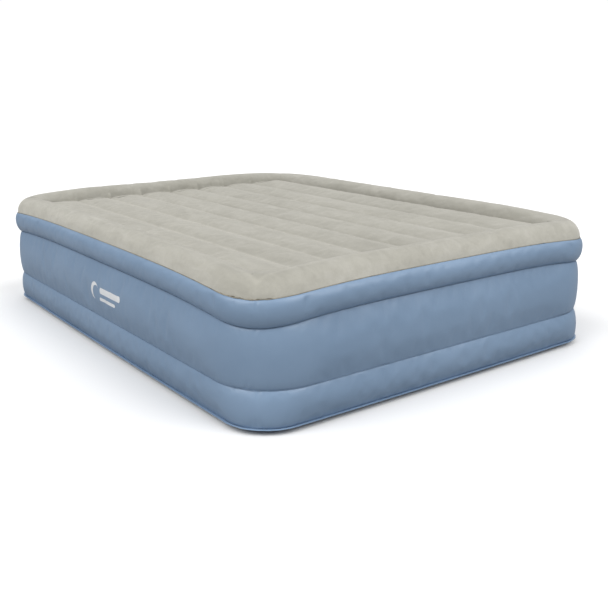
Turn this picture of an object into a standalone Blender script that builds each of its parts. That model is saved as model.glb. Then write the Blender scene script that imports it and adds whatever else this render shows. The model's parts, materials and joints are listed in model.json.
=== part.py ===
"""Raised double-height air bed with a flocked top and a built-in mains pump.

Frame: +X across the bed, +Y towards the head end that holds the pump, +Z up.
Origin: middle of the footprint, on the floor. Metres.
"""

import math

import bmesh
import bpy
from mathutils import Vector

for old in list(bpy.data.objects):
    bpy.data.objects.remove(old, do_unlink=True)

MM = 0.001

# ---------------------------------------------------------------- bag sizes
HEIGHT = 0.460  # floor to the crest of the raised rim
PVC = 0.0004  # side, bottom and inner sheets
FLOCKED = 0.0008  # top sheet, PVC with its nap
GAP = 0.0003  # clearance between welded or touching pieces

# Weld seams: half width, half length, corner radius, height at mid-side,
# drop at the corners, outward bow at mid-side.
BOTTOM_SEAM = (0.7405, 0.9955, 0.136, 0.0170, 0.0000, 0.005)
LOWER_WAIST = (0.7500, 1.0050, 0.190, 0.1280, 0.0000, 0.000)
UPPER_WAIST = (0.7396, 0.9946, 0.160, 0.3266, -0.0300, 0.000)
TOP_SEAM = (0.7520, 1.0070, 0.180, 0.4068, -0.0260, -0.012)

# Outward bulge of each side band past its seams: at mid-side, at the corners
UPPER_BULGE = (0.0179, 0.0110)
MIDDLE_BULGE = (0.0150, 0.0080)
LOWER_BULGE = (0.0122, 0.0090)

RIM_CREST_IN = 0.054  # rim crest, inboard of the top seam
RIM_WELD_IN = 0.116  # inner weld of the rim, inboard of the top seam
RIM_WELD_Z = 0.416
CHANNELS = 8
CHANNEL_PITCH = 0.15525
VALLEY_Z = 0.403
CHANNEL_RISE = 0.019
CHANNEL_END = 0.070  # length over which a channel closes down to the rim weld

LIP_IN = 0.006  # welded strip of each seam, inboard
TOP_LIP_OUT = 0.0015
WAIST_LIP_OUT = 0.0015
BOTTOM_LIP_OUT = 0.0090
LIP_HALF = 0.0006

CORNER_STEPS = 4
BAND_LEVELS = (0.0, 0.2, 0.5, 0.8, 1.0)
MIDDLE_LEVELS = (0.0, 0.09, 0.28, 0.5, 0.72, 0.91, 1.0)
SIDE_X_STEPS = 4
SIDE_Y_STEPS = 6

# ---------------------------------------------------------------- pump sizes
PUMP_X, PUMP_Y, PUMP_Z = -0.430, 1.0035, 0.2215  # datum: back of the face plate
PLATE = (100, 62, 3)  # half width, half height, thickness, in mm
BAND_CUT = (104, 66)
DIAL_X = 50
DIAL_R = 31
SHAFT_R = 4
SLEEVE_R = (25, 28)
MOTOR_Y = -74
MOTOR_R = 26
MOTOR_SHAFT_R = 2.5
TUB_X = (-86.5, -19.5)
TUB_Z = 46.5
TUB_DEPTH = 42
TUB_WALL = 1.8
DOOR_AXIS_Y, DOOR_AXIS_Z = 0.4, -42.0
DOOR_KNUCKLE_R = 2.3
FLAP_AXIS_Y, FLAP_AXIS_Z = -121.0, 26.0
SCREWS = ((-86, -52), (86, -52), (-86, 52), (86, 52))


# ---------------------------------------------------------------- materials
def material(name, colour, roughness, metallic=0.0):
    mat = bpy.data.materials.new(name)
    mat.use_nodes = True
    shader = mat.node_tree.nodes["Principled BSDF"]
    shader.inputs["Base Color"].default_value = (*colour, 1.0)
    shader.inputs["Roughness"].default_value = roughness
    shader.inputs["Metallic"].default_value = metallic
    mat.diffuse_color = (*colour, 1.0)
    return mat


LOOKS = {
    "flock": ((0.50, 0.48, 0.43), 0.95, 0.0),
    "blue_pvc": ((0.19, 0.29, 0.43), 0.42, 0.0),
    "inner_pvc": ((0.30, 0.36, 0.42), 0.55, 0.0),
    "pump_shell": ((0.05, 0.06, 0.08), 0.45, 0.0),
    "pump_trim": ((0.10, 0.12, 0.15), 0.35, 0.0),
    "seal_rubber": ((0.02, 0.02, 0.02), 0.80, 0.0),
    "steel": ((0.55, 0.55, 0.57), 0.30, 1.0),
    "copper": ((0.70, 0.35, 0.18), 0.35, 1.0),
    "carbon": ((0.03, 0.03, 0.03), 0.60, 0.0),
    "lead_brown": ((0.35, 0.12, 0.04), 0.50, 0.0),
    "lead_blue": ((0.04, 0.12, 0.45), 0.50, 0.0),
}


# ---------------------------------------------------------------- solids
def add(name, verts, faces, look, origin=(0.0, 0.0, 0.0), smooth=False):
    """An object whose mesh is given in world metres."""
    mesh = bpy.data.meshes.new(name)
    at = Vector(origin)
    mesh.from_pydata([tuple(Vector(v) - at) for v in verts], [], faces)
    bm = bmesh.new()
    bm.from_mesh(mesh)
    bmesh.ops.recalc_face_normals(bm, faces=bm.faces)
    bm.to_mesh(mesh)
    bm.free()
    obj = bpy.data.objects.new(name, mesh)
    obj.location = at
    bpy.context.scene.collection.objects.link(obj)
    if look is not None:
        mesh.materials.append(material(name, *LOOKS[look]))
    if smooth:
        mesh.shade_smooth()
        mesh.set_sharp_from_angle(angle=math.radians(40))
    return obj


def as_cutter(obj):
    obj.hide_render = True
    obj.display_type = "WIRE"
    return obj


def combine(obj, other, operation):
    modifier = obj.modifiers.new(other.name, "BOOLEAN")
    modifier.operation = operation
    modifier.solver = "EXACT"
    modifier.object = as_cutter(other)
    return obj


def cut(obj, *others):
    for other in others:
        combine(obj, other, "DIFFERENCE")
    return obj


def join(obj, *others):
    for other in others:
        combine(obj, other, "UNION")
    return obj


def at(x, y, z):
    """Pump coordinates, in mm from the pump's datum, to world metres."""
    return (PUMP_X + x * MM, PUMP_Y + y * MM, PUMP_Z + z * MM)


def prism(outline, axis, low, high):
    """Verts and faces of an outline extruded along one axis. Outline points are the two other coordinates, in X, Y, Z order."""
    n = len(outline)
    verts = []
    for level in (low, high):
        for a, b in outline:
            point = [a, b]
            point.insert(axis, level)
            verts.append(tuple(point))
    faces = [tuple(range(n))[::-1], tuple(range(n, 2 * n))]
    faces += [(i, (i + 1) % n, n + (i + 1) % n, n + i) for i in range(n)]
    return verts, faces


def rounded(hx, hz, r, steps=3, cx=0.0, cz=0.0):
    points = []
    for k, (sx, sz) in enumerate(((1, -1), (1, 1), (-1, 1), (-1, -1))):
        for i in range(steps + 1):
            a = math.radians(-90 + 90 * k + 90 * i / steps)
            points.append(
                (
                    cx + sx * (hx - r) + r * math.cos(a),
                    cz + sz * (hz - r) + r * math.sin(a),
                )
            )
    return points


def circle(r, n, ca=0.0, cb=0.0, turn=0.5):
    return [
        (
            ca + r * math.cos(2 * math.pi * (i + turn) / n),
            cb + r * math.sin(2 * math.pi * (i + turn) / n),
        )
        for i in range(n)
    ]


def pump_solid(name, outline, axis, low, high, look, origin=None, smooth=False):
    verts, faces = prism(outline, axis, low, high)
    return add(
        name,
        [at(*v) for v in verts],
        faces,
        look,
        at(*origin) if origin else at(0, 0, 0),
        smooth,
    )


def pump_box(name, x, y, z, look=None, origin=None):
    return pump_solid(
        name,
        [(x[0], y[0]), (x[1], y[0]), (x[1], y[1]), (x[0], y[1])],
        2,
        z[0],
        z[1],
        look,
        origin,
    )


def turned(name, profile, axis, centre, look, n=20, origin=None):
    """A ring or bushing: (radius, position) points turned about an axis through centre, in pump mm."""
    verts, faces = [], []
    m = len(profile)
    for i in range(n):
        a = 2 * math.pi * (i + 0.5) / n
        for r, along in profile:
            u, v = r * math.cos(a), r * math.sin(a)
            if axis == 0:
                point = (along, centre[1] + u, centre[2] + v)
            elif axis == 1:
                point = (centre[0] + u, along, centre[2] + v)
            else:
                point = (centre[0] + u, centre[1] + v, along)
            verts.append(at(*point))
    for i in range(n):
        for j in range(m):
            faces.append(
                (
                    i * m + j,
                    i * m + (j + 1) % m,
                    ((i + 1) % n) * m + (j + 1) % m,
                    ((i + 1) % n) * m + j,
                )
            )
    return add(name, verts, faces, look, at(*(origin or centre)), smooth=True)


def ring_profile(r_in, r_out, low, high):
    return [(r_in, low), (r_out, low), (r_out, high), (r_in, high)]


def smooth_path(points, steps):
    """Catmull-Rom curve through the points."""
    pts = [Vector(p) for p in points]
    pts = [2 * pts[0] - pts[1]] + pts + [2 * pts[-1] - pts[-2]]
    out = []
    for k in range(1, len(pts) - 2):
        p0, p1, p2, p3 = pts[k - 1 : k + 3]
        for i in range(steps):
            t = i / steps
            out.append(
                0.5
                * (
                    2 * p1
                    + (p2 - p0) * t
                    + (2 * p0 - 5 * p1 + 4 * p2 - p3) * t * t
                    + (3 * p1 - p0 - 3 * p2 + p3) * t**3
                )
            )
    out.append(pts[-2])
    return out


def lead(name, points, radius, look):
    """An internal wire: a bevelled curve with filled caps."""
    curve = bpy.data.curves.new(name, "CURVE")
    curve.dimensions = "3D"
    curve.bevel_depth = radius * MM
    curve.bevel_resolution = 1
    curve.use_fill_caps = True
    path = smooth_path(points, 4)
    spline = curve.splines.new("POLY")
    spline.points.add(len(path) - 1)
    for slot, p in zip(spline.points, path):
        slot.co = (*[c - o for c, o in zip(at(*p), at(*points[0]))], 1.0)
    obj = bpy.data.objects.new(name, curve)
    obj.location = at(*points[0])
    curve.materials.append(material(name, *LOOKS[look]))
    bpy.context.scene.collection.objects.link(obj)
    return obj


def swept_tube(name, points, r_out, r_in, look, n=12, steps=3):
    """A hollow duct along a smooth path, open at both ends."""
    path = smooth_path(points, steps)
    verts, faces = [], []
    side = Vector((0, 0, 1))
    for k, p in enumerate(path):
        ahead = path[min(k + 1, len(path) - 1)] - path[max(k - 1, 0)]
        ahead.normalize()
        side = (side - ahead * side.dot(ahead)).normalized()
        up = ahead.cross(side)
        for r in (r_out, r_in):
            for i in range(n):
                a = 2 * math.pi * i / n
                q = p + side * (r * math.cos(a)) + up * (r * math.sin(a))
                verts.append(at(*q))
    rows = len(path)
    for k in range(rows - 1):
        for i in range(n):
            j = (i + 1) % n
            a, b = k * 2 * n, (k + 1) * 2 * n
            faces.append((a + i, a + j, b + j, b + i))
            faces.append((a + n + j, a + n + i, b + n + i, b + n + j))
    last = (rows - 1) * 2 * n
    for i in range(n):
        j = (i + 1) % n
        faces.append((j, i, n + i, n + j))
        faces.append((last + i, last + j, last + n + j, last + n + i))
    return add(name, verts, faces, look, at(*points[0]), smooth=True)


# ---------------------------------------------------------------- bag outline
def seam_point(seam, half, t, inset=0.0):
    """A point of a seam's loop, drawn inwards by inset, and its outward normal.

    half is 0 to 3 for the sides -Y, +X, +Y, -X and 4 to 7 for the corner that
    follows each. t runs 0 to 1 along it.
    """
    hx, hy, r, z, dip, bow = seam
    r_in = max(r - inset, 0.004)
    sx, sy = hx - r, hy - r
    k = half % 4
    quarter = math.radians(-90 + 90 * k)
    if half < 4:
        along = 2 * t - 1
        edge_x, edge_y = hx - inset, hy - inset
        x, y = (
            (sx * along, -edge_y),
            (edge_x, sy * along),
            (-sx * along, edge_y),
            (-edge_x, -sy * along),
        )[k]
        normal = Vector((math.cos(quarter), math.sin(quarter), 0))
    else:
        a = quarter + math.radians(90 * t)
        cx, cy = ((sx, -sy), (sx, sy), (-sx, sy), (-sx, -sy))[k]
        shift = max(inset - (r - 0.004), 0.0)
        cx -= math.copysign(shift, cx)
        cy -= math.copysign(shift, cy)
        x, y = cx + r_in * math.cos(a), cy + r_in * math.sin(a)
        normal = Vector((math.cos(a), math.sin(a), 0))
    ux, uy = abs(x) / hx, abs(y) / hy
    z += dip * min(ux, uy) ** 4
    if ux > uy:
        x += bow * max(1 - uy * uy, 0) * math.copysign(1, x)
    else:
        y += bow * max(1 - ux * ux, 0) * math.copysign(1, y)
    return Vector((x, y, z)), normal, min(ux, uy)


def polygon_point(seam, half, t, inset=0.0):
    """As seam_point, on the chords between the side's few coarse points, so that pieces sampled differently still lie flush."""
    steps = (SIDE_X_STEPS, SIDE_Y_STEPS)[half % 2] if half < 4 else CORNER_STEPS
    k = min(int(t * steps + 1e-9), steps - 1)
    f = t * steps - k
    p, n, u = seam_point(seam, half, k / steps, inset)
    q, m, w = seam_point(seam, half, (k + 1) / steps, inset)
    return p.lerp(q, f), n.lerp(m, f).normalized(), u + (w - u) * f


def loop_stations(xs=None, ys=None):
    """(half, t) pairs once round the bed."""
    xs = xs or [i / SIDE_X_STEPS for i in range(SIDE_X_STEPS + 1)]
    ys = ys or [i / SIDE_Y_STEPS for i in range(SIDE_Y_STEPS + 1)]
    stations = []
    for k in range(4):
        stations += [(k, t) for t in (xs, ys)[k % 2]]
        stations += [(4 + k, i / CORNER_STEPS) for i in range(1, CORNER_STEPS)]
    return stations


def seam_ring(name, seam, inboard, outboard, half_thick, look):
    """A seam's welded strip, lying flat round the bed."""
    verts, faces = [], []
    stations = loop_stations()
    for half, t in stations:
        p, n, _ = polygon_point(seam, half, t)
        for out, dz in (
            (-inboard, -half_thick),
            (outboard, -half_thick),
            (outboard, half_thick),
            (-inboard, half_thick),
        ):
            verts.append(p + n * out + Vector((0, 0, dz)))
    m = len(stations)
    for i in range(m):
        for j in range(4):
            faces.append(
                (
                    4 * i + j,
                    4 * i + (j + 1) % 4,
                    4 * ((i + 1) % m) + (j + 1) % 4,
                    4 * ((i + 1) % m) + j,
                )
            )
    return add(name, verts, faces, look)


def thicken(obj, thickness):
    modifier = obj.modifiers.new("Sheet thickness", "SOLIDIFY")
    modifier.thickness = thickness
    modifier.offset = -1.0
    modifier.use_even_offset = True
    modifier.use_quality_normals = True
    return obj


def face_outwards(obj, test):
    """Flips the open sheet if its first face points the wrong way."""
    mesh = obj.data
    if not test(mesh.polygons[0]):
        mesh.flip_normals()
    return obj


def pump_flat(p):
    """How flat the middle band lies round the pump: 1 at the pump, 0 away from it."""
    if p.y < 0.9:
        return 0.0
    away = max(abs(p.x - PUMP_X) - 0.135, 0.0) / 0.12
    return max(0.0, 1.0 - away) ** 2 * (3 - 2 * max(0.0, 1.0 - away))


def side_band(name, low, high, bulge, look, levels, flat_at_pump=False, xs=None):
    """One inflated side band, from seam to seam."""
    verts, faces = [], []
    stations = loop_stations(xs=xs)
    edge = LIP_HALF + GAP + 0.0004
    for half, t in stations:
        a, na, ua = polygon_point(low, half, t)
        b, nb, _ = polygon_point(high, half, t)
        n = (na + nb).normalized()
        corner = max(0.0, (ua - 0.75) / 0.25)
        swell = bulge[0] + (bulge[1] - bulge[0]) * corner
        a = a + Vector((0, 0, edge))
        b = b - Vector((0, 0, edge))
        for v in levels:
            p = a.lerp(b, v) + n * swell * (4 * v * (1 - v)) ** 0.75
            if flat_at_pump:
                f = pump_flat(p)
                inner = min(1.0, min(v, 1 - v) / MIDDLE_LEVELS[1])
                plane = PUMP_Y + PVC
                p.y += (plane - p.y) * f * inner
            verts.append(p)
    rows = len(levels) - 1
    m, w = len(stations), rows + 1
    for i in range(m):
        for j in range(rows):
            faces.append(
                (
                    i * w + j,
                    ((i + 1) % m) * w + j,
                    ((i + 1) % m) * w + j + 1,
                    i * w + j + 1,
                )
            )
    obj = add(name, verts, faces, look, smooth=True)
    face_outwards(obj, lambda f: f.normal.dot(Vector((f.center.x, f.center.y, 0))) > 0)
    return thicken(obj, PVC)


def loops_and_core(seam, insets, height, xs, ys, core_z):
    """Verts and faces of a sheet made of loops round the bed and a filled middle.

    height(inset, point, u) gives z on the loops, core_z(x, y) inside the last.
    """
    stations = loop_stations(xs, ys)
    m = len(stations)
    verts, faces = [], []
    for inset in insets:
        for half, t in stations:
            p, _, u = polygon_point(seam, half, t, inset)
            p.z = height(inset, p, u)
            verts.append(p)
    for k in range(len(insets) - 1):
        for i in range(m):
            j = (i + 1) % m
            faces.append((k * m + i, k * m + j, (k + 1) * m + j, (k + 1) * m + i))
    base = (len(insets) - 1) * m
    # The four sides of the filled middle run from corner middle to corner middle.
    half_corner = CORNER_STEPS // 2
    nx = len(xs) - 1 + CORNER_STEPS
    ny = len(ys) - 1 + CORNER_STEPS
    start = m - half_corner
    index = [base + (start + i) % m for i in range(m)]
    front = index[0 : nx + 1]
    right = index[nx : nx + ny + 1]
    back = index[nx + ny : 2 * nx + ny + 1][::-1]
    left = (index[2 * nx + ny :] + [index[0]])[::-1]
    grid = {}
    for i in range(nx + 1):
        grid[i, 0], grid[i, ny] = front[i], back[i]
    for j in range(ny + 1):
        grid[0, j], grid[nx, j] = left[j], right[j]
    corners = [verts[grid[c]] for c in ((0, 0), (nx, 0), (0, ny), (nx, ny))]
    span_x = corners[1].x - corners[0].x
    span_y = corners[2].y - corners[0].y
    for i in range(1, nx):
        for j in range(1, ny):
            b, t = verts[front[i]], verts[back[i]]
            l, r = verts[left[j]], verts[right[j]]
            u = (b.x - corners[0].x) / span_x
            v = (l.y - corners[0].y) / span_y
            p = (
                b * (1 - v)
                + t * v
                + l * (1 - u)
                + r * u
                - corners[0] * (1 - u) * (1 - v)
                - corners[1] * u * (1 - v)
                - corners[2] * (1 - u) * v
                - corners[3] * u * v
            )
            p.z = core_z(p.x, p.y)
            grid[i, j] = len(verts)
            verts.append(p)
    for i in range(nx):
        for j in range(ny):
            faces.append(
                (grid[i, j], grid[i + 1, j], grid[i + 1, j + 1], grid[i, j + 1])
            )
    return verts, faces


def side_fractions(positions, half_straight):
    return [0.5 + 0.5 * p / half_straight for p in positions]


# ---------------------------------------------------------------- top sheet
TOP_STRAIGHT_X = TOP_SEAM[0] - TOP_SEAM[2]
TOP_STRAIGHT_Y = TOP_SEAM[1] - TOP_SEAM[2]
CHANNEL_EDGE_X = CHANNEL_PITCH * CHANNELS / 2
CHANNEL_EDGE_Y = TOP_SEAM[1] - RIM_WELD_IN


def rim_z(inset, p, u):
    """Height of the flocked sheet over the raised rim."""
    dip = TOP_SEAM[4] * u**4
    low = TOP_SEAM[3] + dip + LIP_HALF + GAP + FLOCKED
    crest = HEIGHT + 0.6 * dip
    weld = RIM_WELD_Z + 0.3 * dip
    if inset <= RIM_CREST_IN:
        s = 1 - inset / RIM_CREST_IN
        return low + (crest - low) * math.sqrt(max(1 - s * s, 0)) ** 1.1
    s = (inset - RIM_CREST_IN) / (RIM_WELD_IN - RIM_CREST_IN)
    return weld + (crest - weld) * math.sqrt(max(1 - s * s, 0))


def channel_z(x, y):
    """Height of the sleeping surface: long air channels between I-beam welds."""
    k = (x + CHANNEL_EDGE_X) / CHANNEL_PITCH
    s = k - math.floor(k)
    if not 0 <= k <= CHANNELS:
        s = 0.0
    hump = max(4 * s * (1 - s), 0.0) ** 0.7
    end = min(max((CHANNEL_EDGE_Y - abs(y)) / CHANNEL_END, 0.0), 1.0)
    swell = math.sqrt(1 - (1 - end) ** 2)
    return VALLEY_Z + CHANNEL_RISE * hump * swell


third = CHANNEL_PITCH / 3
columns = [third * k for k in range(-10, 11)]
columns = [-TOP_STRAIGHT_X, *columns, TOP_STRAIGHT_X]
crosswise = [-TOP_STRAIGHT_Y, -0.78, -0.55, -0.28, 0, 0.28, 0.55, 0.78, TOP_STRAIGHT_Y]
top_xs = side_fractions(columns, TOP_STRAIGHT_X)
top_ys = side_fractions(crosswise, TOP_STRAIGHT_Y)
verts, faces = loops_and_core(
    TOP_SEAM,
    [0.0, 0.012, RIM_CREST_IN, 0.098, RIM_WELD_IN],
    rim_z,
    top_xs,
    top_ys,
    channel_z,
)
top_sheet = add("top_sheet", verts, faces, "flock", smooth=True)
face_outwards(top_sheet, lambda f: f.normal.z > 0)
thicken(top_sheet, FLOCKED)

# ---------------------------------------------------------------- side bands
side_band("upper_side_band", UPPER_WAIST, TOP_SEAM, UPPER_BULGE, "blue_pvc", BAND_LEVELS)

pump_stations = [
    0.5 - 0.5 * x / (LOWER_WAIST[0] - LOWER_WAIST[2])
    for x in (0.30, 0.0, -0.175, -0.235, -0.295, -0.43)
]
middle_band = side_band(
    "middle_side_band",
    LOWER_WAIST,
    UPPER_WAIST,
    MIDDLE_BULGE,
    "blue_pvc",
    MIDDLE_LEVELS,
    flat_at_pump=True,
    xs=[0.0, *sorted(pump_stations), 1.0],
)
window = pump_solid(
    "pump_window_cut", rounded(BAND_CUT[0], BAND_CUT[1], 18, 2), 1, -8, 12, None
)
cut(middle_band, window)

side_band("lower_side_band", BOTTOM_SEAM, LOWER_WAIST, LOWER_BULGE, "blue_pvc", BAND_LEVELS)

# ---------------------------------------------------------------- bottom sheet
FLAT_FROM = 0.055  # the base lies flat on the floor this far inboard of its seam


def base_z(inset, p, u):
    s = max(1 - inset / FLAT_FROM, 0.0)
    top = BOTTOM_SEAM[3] - LIP_HALF - GAP - 0.0002
    return top * s**1.6


verts, faces = loops_and_core(
    BOTTOM_SEAM,
    [0.0, 0.018, FLAT_FROM],
    base_z,
    side_fractions([-0.6045, 0, 0.6045], 0.6045),
    side_fractions([-0.8595, 0, 0.8595], 0.8595),
    lambda x, y: 0.0,
)
bottom_sheet = add("bottom_sheet", verts, faces, "blue_pvc", smooth=True)
face_outwards(bottom_sheet, lambda f: f.normal.z < 0)
thicken(bottom_sheet, PVC)

# ---------------------------------------------------------------- seam strips
seam_ring("top_seam", TOP_SEAM, LIP_IN, TOP_LIP_OUT, LIP_HALF, "flock")
seam_ring("upper_waist_seam", UPPER_WAIST, LIP_IN, WAIST_LIP_OUT, LIP_HALF, "blue_pvc")
seam_ring("lower_waist_seam", LOWER_WAIST, LIP_IN, WAIST_LIP_OUT, LIP_HALF, "blue_pvc")
seam_ring("bottom_seam", BOTTOM_SEAM, LIP_IN, BOTTOM_LIP_OUT, LIP_HALF, "blue_pvc")


# ---------------------------------------------------------------- inner sheets
def divider(name, seam, holes):
    inset = LIP_IN + 0.001

    def z(_inset, p, u):
        return seam[3] + seam[4] * (min(abs(p.x) / seam[0], abs(p.y) / seam[1])) ** 4

    sx, sy = seam[0] - seam[2], seam[1] - seam[2]
    verts, faces = loops_and_core(
        seam,
        [inset, 0.08],
        z,
        side_fractions([-sx, -sx / 2, 0, sx / 2, sx], sx),
        side_fractions([-sy, -sy / 3, sy / 3, sy], sy),
        lambda x, y: seam[3]
        + seam[4] * (min(abs(x) / seam[0], abs(y) / seam[1])) ** 4,
    )
    sheet = add(name, verts, faces, "inner_pvc")
    face_outwards(sheet, lambda f: f.normal.z > 0)
    thicken(sheet, PVC)
    for k, (x, y, r) in enumerate(holes):
        outline = circle(r, 10, x, y)
        v, f = prism(outline, 2, seam[3] - 0.05, seam[3] + 0.05)
        cut(sheet, add(f"{name}_air_hole_{k}", v, f, None))
    return sheet


AIR_HOLES = [(0.42, 0.86, 0.022), (-0.42, -0.86, 0.022)]
divider("upper_divider", UPPER_WAIST, AIR_HOLES)
divider("lower_divider", LOWER_WAIST, AIR_HOLES)


def i_web(name, x, half_length, low, high, flange, look="inner_pvc"):
    """A tension web along the bed, with a weld flange at its top and its foot."""
    h, f = PVC / 2, flange / 2
    outline = [
        (x - f, low),
        (x + f, low),
        (x + f, low + PVC),
        (x + h, low + PVC),
        (x + h, high - PVC),
        (x + f, high - PVC),
        (x + f, high),
        (x - f, high),
        (x - f, high - PVC),
        (x - h, high - PVC),
        (x - h, low + PVC),
        (x - f, low + PVC),
    ]
    v, f = prism(outline, 1, -half_length, half_length)
    return add(name, v, f, look, (x, 0, (low + high) / 2))


for k in range(CHANNELS - 1):
    x = (k - (CHANNELS - 2) / 2) * CHANNEL_PITCH
    i_web(
        f"i_beam_{k + 1}",
        x,
        CHANNEL_EDGE_Y - 0.05,
        UPPER_WAIST[3] + 0.0015,
        VALLEY_Z - FLOCKED - 0.0025,
        0.016,
    )

for k, x in enumerate((-0.276, 0.276)):
    i_web(
        f"middle_web_{k + 1}",
        x,
        0.80,
        LOWER_WAIST[3] + 0.0015,
        UPPER_WAIST[3] - 0.0040,
        0.030,
    )
    i_web(
        f"lower_web_{k + 1}",
        x,
        0.80,
        0.0015,
        LOWER_WAIST[3] - 0.0015,
        0.030,
    )

verts, faces = [], []
stations = loop_stations()
for half, t in stations:
    p, n, u = polygon_point(TOP_SEAM, half, t, RIM_WELD_IN + 0.002)
    foot = UPPER_WAIST[3] + 0.0015
    head = RIM_WELD_Z + 0.3 * TOP_SEAM[4] * u**4 - 0.010
    for out, z in ((0, foot), (PVC, foot), (PVC, head), (0, head)):
        verts.append(Vector((p.x, p.y, z)) + n * out)
for i in range(len(stations)):
    k = (i + 1) % len(stations)
    for j in range(4):
        faces.append((4 * i + j, 4 * i + (j + 1) % 4, 4 * k + (j + 1) % 4, 4 * k + j))
add("rim_web", verts, faces, "inner_pvc")

# ---------------------------------------------------------------- pump shell
DIAL = (DIAL_X, 0, 0)
pump_flange = pump_solid(
    "pump_flange", rounded(118, 72, 24, 3), 1, -1.8, -0.3, "blue_pvc"
)
cut(pump_flange, pump_solid("flange_cut", rounded(96, 58, 8, 2), 1, -5, 5, None))

housing = pump_box("pump_housing", (-94, 94), (-118, -2.1), (-59, 59), "pump_shell")
join(
    housing,
    pump_solid("housing_lip", rounded(112, 67, 20, 3), 1, -3.6, -2.1, None),
)
cut(housing, pump_box("housing_inside", (-91.8, 91.8), (-115.8, 5), (-56.8, 56.8)))
for k, (x, z) in enumerate(SCREWS):
    sx, sz = math.copysign(1, x), math.copysign(1, z)
    bx = sorted((sx * 82, sx * 92.9))
    bz = sorted((sz * 48.2, sz * 57.9))
    join(housing, pump_box(f"boss_{k}", bx, (-22, -3), bz))
join(
    housing,
    pump_box("flap_lug_a", (40, 43.6), (-124, -116.5), (23, 29)),
    pump_box("flap_lug_b", (56.4, 60), (-124, -116.5), (23, 29)),
)
for k, (x, z) in enumerate(SCREWS):
    cut(
        housing,
        pump_solid(f"boss_hole_{k}", circle(1.9, 8, x, z), 1, -20, 2, None),
    )
cut(
    housing,
    pump_solid("air_port", circle(18, 20, DIAL_X, 0), 1, -122, -112, None),
    pump_solid(
        "flap_pin_hole", circle(1.1, 8, FLAP_AXIS_Y, FLAP_AXIS_Z), 0, 36, 64, None
    ),
)

face_plate = pump_solid(
    "face_plate", rounded(PLATE[0], PLATE[1], 16, 4), 1, 0, PLATE[2], "pump_trim"
)
cut(
    face_plate,
    pump_box("door_opening", (-87, -19), (-3, 8), (-47, 47)),
    pump_box("grille_opening", (-11, 13), (-3, 8), (-45, 45)),
    pump_solid("dial_opening", circle(DIAL_R + 1, 28, DIAL_X, 0), 1, -3, 8, None),
)
for k, (x, z) in enumerate(SCREWS):
    cut(
        face_plate, pump_solid(f"plate_hole_{k}", circle(1.9, 8, x, z), 1, -3, 8, None)
    )
for k, (x, z) in enumerate(SCREWS):
    screw = turned(
        f"face_screw_{k + 1}",
        [(0.4, -18), (1.5, -17), (1.5, 3.3), (3.0, 3.3), (2.6, 4.9), (0.4, 4.9)],
        1,
        (x, 0, z),
        "steel",
        n=10,
    )
    bm = bmesh.new()
    bm.from_mesh(screw.data)
    bmesh.ops.delete(
        bm,
        geom=[
            f
            for f in bm.faces
            if all(
                math.hypot(v.co.x, v.co.z) < 0.0005 for v in f.verts
            )
        ],
        context="FACES_ONLY",
    )
    bmesh.ops.holes_fill(bm, edges=bm.edges)
    bmesh.ops.recalc_face_normals(bm, faces=bm.faces)
    bm.to_mesh(screw.data)
    bm.free()

grille = pump_box("air_grille", (-10.6, 12.6), (0.3, 2.7), (-44.6, 44.6), "pump_shell")
slots_v, slots_f = [], []
for k in range(9):
    z = -36 + 9 * k
    v, f = prism([(-8, -2), (10, -2), (10, 6), (-8, 6)], 2, z - 2.4, z + 2.4)
    slots_f += [tuple(i + len(slots_v) for i in face) for face in f]
    slots_v += [at(*p) for p in v]
cut(grille, add("grille_slots", slots_v, slots_f, None))

# ---------------------------------------------------------------- cord compartment
tub = pump_box(
    "cord_compartment", TUB_X, (-TUB_DEPTH, 2.7), (-TUB_Z, TUB_Z), "pump_shell"
)
cut(
    tub,
    pump_box(
        "tub_inside",
        (TUB_X[0] + TUB_WALL, TUB_X[1] - TUB_WALL),
        (-TUB_DEPTH + TUB_WALL, 6),
        (-TUB_Z + TUB_WALL, TUB_Z - TUB_WALL),
    ),
    pump_solid("gland_hole", circle(5.5, 12, -30, 30), 1, -46, -36, None),
    pump_solid(
        "door_pin_hole", circle(1.3, 8, DOOR_AXIS_Y, DOOR_AXIS_Z), 0, -90, -16, None
    ),
)
turned(
    "cord_gland",
    [(3.4, -44), (5.0, -44), (5.0, -39.9), (7.5, -39.9), (7.5, -38.4), (3.4, -38.4)],
    1,
    (-30, 0, 30),
    "seal_rubber",
    n=12,
)
DOOR_AXIS = (0.5 * (TUB_X[0] + TUB_X[1]), DOOR_AXIS_Y, DOOR_AXIS_Z)
door = pump_box(
    "cord_door", (-84, -22), (0.2, 2.7), (DOOR_AXIS_Z, 44.3), "pump_trim", DOOR_AXIS
)
join(
    door,
    pump_solid(
        "door_knuckle",
        circle(DOOR_KNUCKLE_R, 16, DOOR_AXIS_Y, DOOR_AXIS_Z, turn=0.0),
        0,
        -84,
        -22,
        None,
    ),
)
cut(
    door,
    pump_solid("finger_notch", circle(9, 16, -53, 47), 1, -4, 6, None),
    pump_solid(
        "knuckle_bore", circle(1.3, 8, DOOR_AXIS_Y, DOOR_AXIS_Z), 0, -90, -16, None
    ),
)
pump_solid(
    "door_hinge_pin",
    circle(1.0, 8, DOOR_AXIS_Y, DOOR_AXIS_Z),
    0,
    -86.2,
    -19.8,
    "steel",
    DOOR_AXIS,
    smooth=True,
)

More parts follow.
